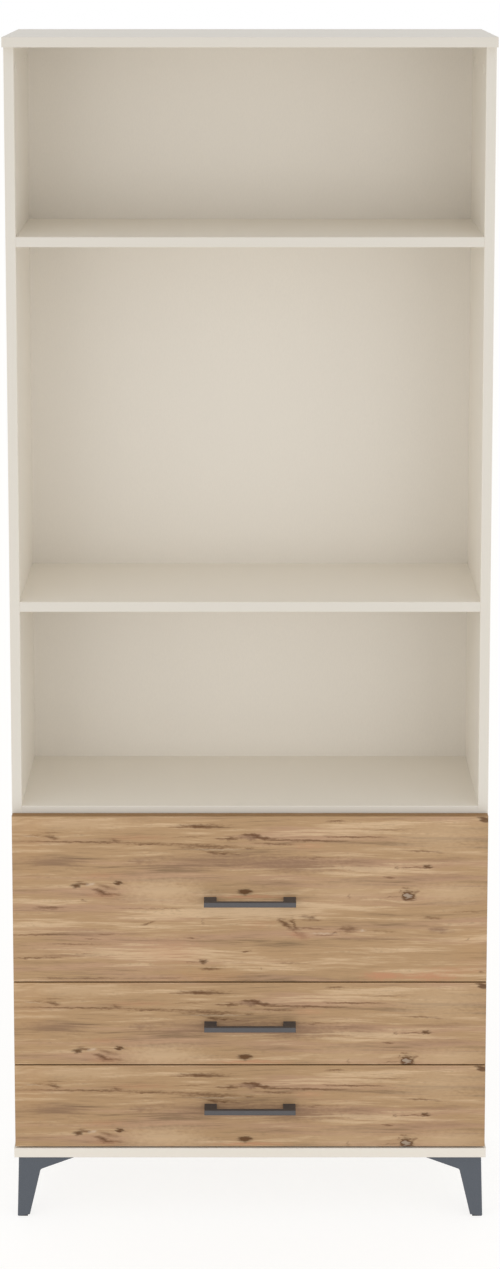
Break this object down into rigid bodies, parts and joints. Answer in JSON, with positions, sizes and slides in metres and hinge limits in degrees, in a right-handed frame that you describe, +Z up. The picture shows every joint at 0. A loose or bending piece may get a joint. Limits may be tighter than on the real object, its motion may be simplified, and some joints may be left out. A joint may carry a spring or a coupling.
{
  "type": "bookcase with bottom drawers",
  "caption": "Tall free-standing bookcase: open compartments between fixed shelves over wood-fronted drawers on ball rails, with bridge handles and splayed corner legs.",
  "frame": {"origin": "on the floor, under the middle of the whole piece with its handles", "axes": "+X to the right as one faces the drawers, +Y to the rear, +Z up"},
  "size_m": [0.77, 0.326, 1.93],
  "materials": {
    "cream_laminate": "cream melamine-faced particle board with matching edge banding",
    "cream_hardboard": "cream-faced hardboard, satin",
    "knotty_oak_laminate": "rustic wood-grain melamine, grain across, matt",
    "anthracite_metal": "anthracite powder coat, satin",
    "zinc_steel": "bright zinc-plated steel",
    "cage_steel": "oiled steel strip",
    "black_plastic": "moulded nylon",
    "beech_dowel": "fluted beech"
  },
  "bodies": {
    "carcass": {"left_side": "cream_laminate", "right_side": "cream_laminate", "top_panel": "cream_laminate", "bottom_panel": "cream_laminate", "drawer_deck": "cream_laminate", "middle_shelf": "cream_laminate", "upper_shelf": "cream_laminate", "back_panel": "cream_hardboard", "leg_front_left": "anthracite_metal", "leg_front_right": "anthracite_metal", "leg_rear_left": "anthracite_metal", "leg_rear_right": "anthracite_metal", "leg_glides": "black_plastic", "leg_screws": "zinc_steel", "dowels": "beech_dowel", "cam_bolts": "zinc_steel", "cam_locks": "zinc_steel", "rail_screws": "zinc_steel", "drawer_1_left_outer_rail": "zinc_steel", "drawer_1_right_outer_rail": "zinc_steel", "drawer_2_left_outer_rail": "zinc_steel", "drawer_2_right_outer_rail": "zinc_steel", "drawer_3_left_outer_rail": "zinc_steel", "drawer_3_right_outer_rail": "zinc_steel"},
    "drawer_1": {"drawer_1_front": "knotty_oak_laminate", "drawer_1_left_wall": "cream_laminate", "drawer_1_right_wall": "cream_laminate", "drawer_1_rear_wall": "cream_laminate", "drawer_1_floor": "cream_hardboard", "drawer_1_handle": "anthracite_metal", "drawer_1_handle_screws": "zinc_steel", "drawer_1_cam_fittings": "zinc_steel", "drawer_1_screws": "zinc_steel", "drawer_1_left_inner_rail": "zinc_steel", "drawer_1_right_inner_rail": "zinc_steel"},
    "drawer_1_cages": {"drawer_1_ball_cages": "cage_steel"},
    "drawer_2": {"drawer_2_front": "knotty_oak_laminate", "drawer_2_left_wall": "cream_laminate", "drawer_2_right_wall": "cream_laminate", "drawer_2_rear_wall": "cream_laminate", "drawer_2_floor": "cream_hardboard", "drawer_2_handle": "anthracite_metal", "drawer_2_handle_screws": "zinc_steel", "drawer_2_cam_fittings": "zinc_steel", "drawer_2_screws": "zinc_steel", "drawer_2_left_inner_rail": "zinc_steel", "drawer_2_right_inner_rail": "zinc_steel"},
    "drawer_2_cages": {"drawer_2_ball_cages": "cage_steel"},
    "drawer_3": {"drawer_3_front": "knotty_oak_laminate", "drawer_3_left_wall": "cream_laminate", "drawer_3_right_wall": "cream_laminate", "drawer_3_rear_wall": "cream_laminate", "drawer_3_floor": "cream_hardboard", "drawer_3_handle": "anthracite_metal", "drawer_3_handle_screws": "zinc_steel", "drawer_3_cam_fittings": "zinc_steel", "drawer_3_screws": "zinc_steel", "drawer_3_left_inner_rail": "zinc_steel", "drawer_3_right_inner_rail": "zinc_steel"},
    "drawer_3_cages": {"drawer_3_ball_cages": "cage_steel"}
  },
  "joints": [
    {"name": "drawer_1_slide", "type": "slide", "parent": "carcass", "child": "drawer_1", "axis": [0, -1, 0], "range_m": [0, 0.18]},
    {"name": "drawer_1_cage_slide", "type": "slide", "parent": "carcass", "child": "drawer_1_cages", "axis": [0, -1, 0], "range_m": [0, 0.09]},
    {"name": "drawer_2_slide", "type": "slide", "parent": "carcass", "child": "drawer_2", "axis": [0, -1, 0], "range_m": [0, 0.18]},
    {"name": "drawer_2_cage_slide", "type": "slide", "parent": "carcass", "child": "drawer_2_cages", "axis": [0, -1, 0], "range_m": [0, 0.09]},
    {"name": "drawer_3_slide", "type": "slide", "parent": "carcass", "child": "drawer_3", "axis": [0, -1, 0], "range_m": [0, 0.18]},
    {"name": "drawer_3_cage_slide", "type": "slide", "parent": "carcass", "child": "drawer_3_cages", "axis": [0, -1, 0], "range_m": [0, 0.09]}
  ],
  "couplings": [
    {"joint": "drawer_1_cage_slide", "follows": "drawer_1_slide", "ratio": 0.5},
    {"joint": "drawer_2_cage_slide", "follows": "drawer_2_slide", "ratio": 0.5},
    {"joint": "drawer_3_cage_slide", "follows": "drawer_3_slide", "ratio": 0.5}
  ]
}
